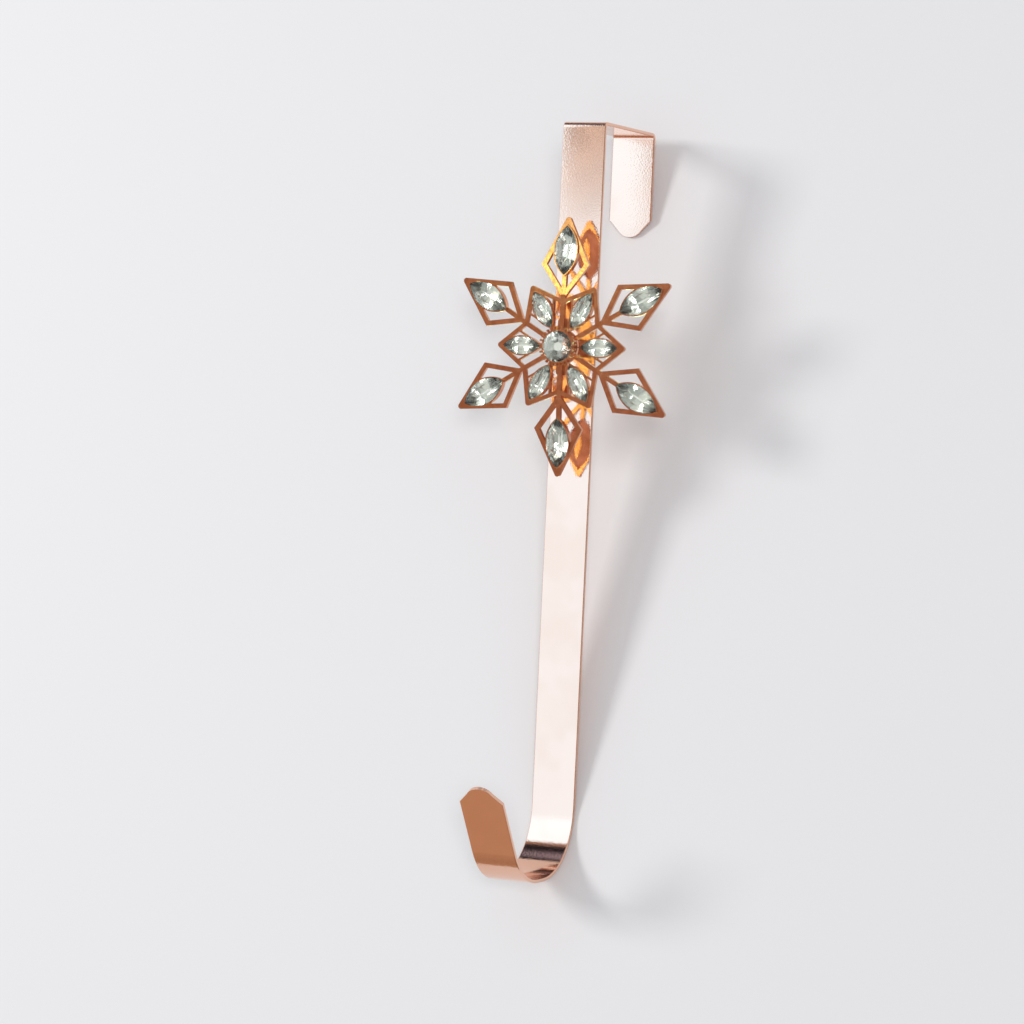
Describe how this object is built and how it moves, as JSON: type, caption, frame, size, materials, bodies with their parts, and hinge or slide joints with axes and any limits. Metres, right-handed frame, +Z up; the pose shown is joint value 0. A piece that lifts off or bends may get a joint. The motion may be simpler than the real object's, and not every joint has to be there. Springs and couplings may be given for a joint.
{
  "type": "over-the-door wreath hanger",
  "caption": "Rose-gold plated flat strap bent into an over-door clip, long shank and J hook, with a crystal-set snowflake standing off the upper shank.",
  "frame": {"origin": "middle of the bridge's underside, which rests on the door's top edge", "axes": "+X is the viewer's right, +Y points through the door from its front to its back, +Z is up; the shank, snowflake and J hook are on the -Y side"},
  "size_m": [0.092, 0.1284, 0.309],
  "materials": {
    "plated_strap": "polished rose-gold plate on bent steel strip, with a faint orange-peel texture",
    "plated_casting": "copper-coloured plate on a fine-grained casting",
    "screw_steel": "plain bright steel",
    "crystal": "clear faceted glass, foil-backed"
  },
  "bodies": {
    "root": {"hanger_strap": "plated_strap", "snowflake_frame": "plated_casting", "centre_cup": "plated_casting", "standoff_sleeve": "plated_casting", "mounting_screw": "screw_steel", "centre_crystal": "crystal", "arm_crystal_1": "crystal", "arm_crystal_2": "crystal", "arm_crystal_3": "crystal", "arm_crystal_4": "crystal", "arm_crystal_5": "crystal", "arm_crystal_6": "crystal", "petal_crystal_1": "crystal", "petal_crystal_2": "crystal", "petal_crystal_3": "crystal", "petal_crystal_4": "crystal", "petal_crystal_5": "crystal", "petal_crystal_6": "crystal"}
  },
  "joints": []
}
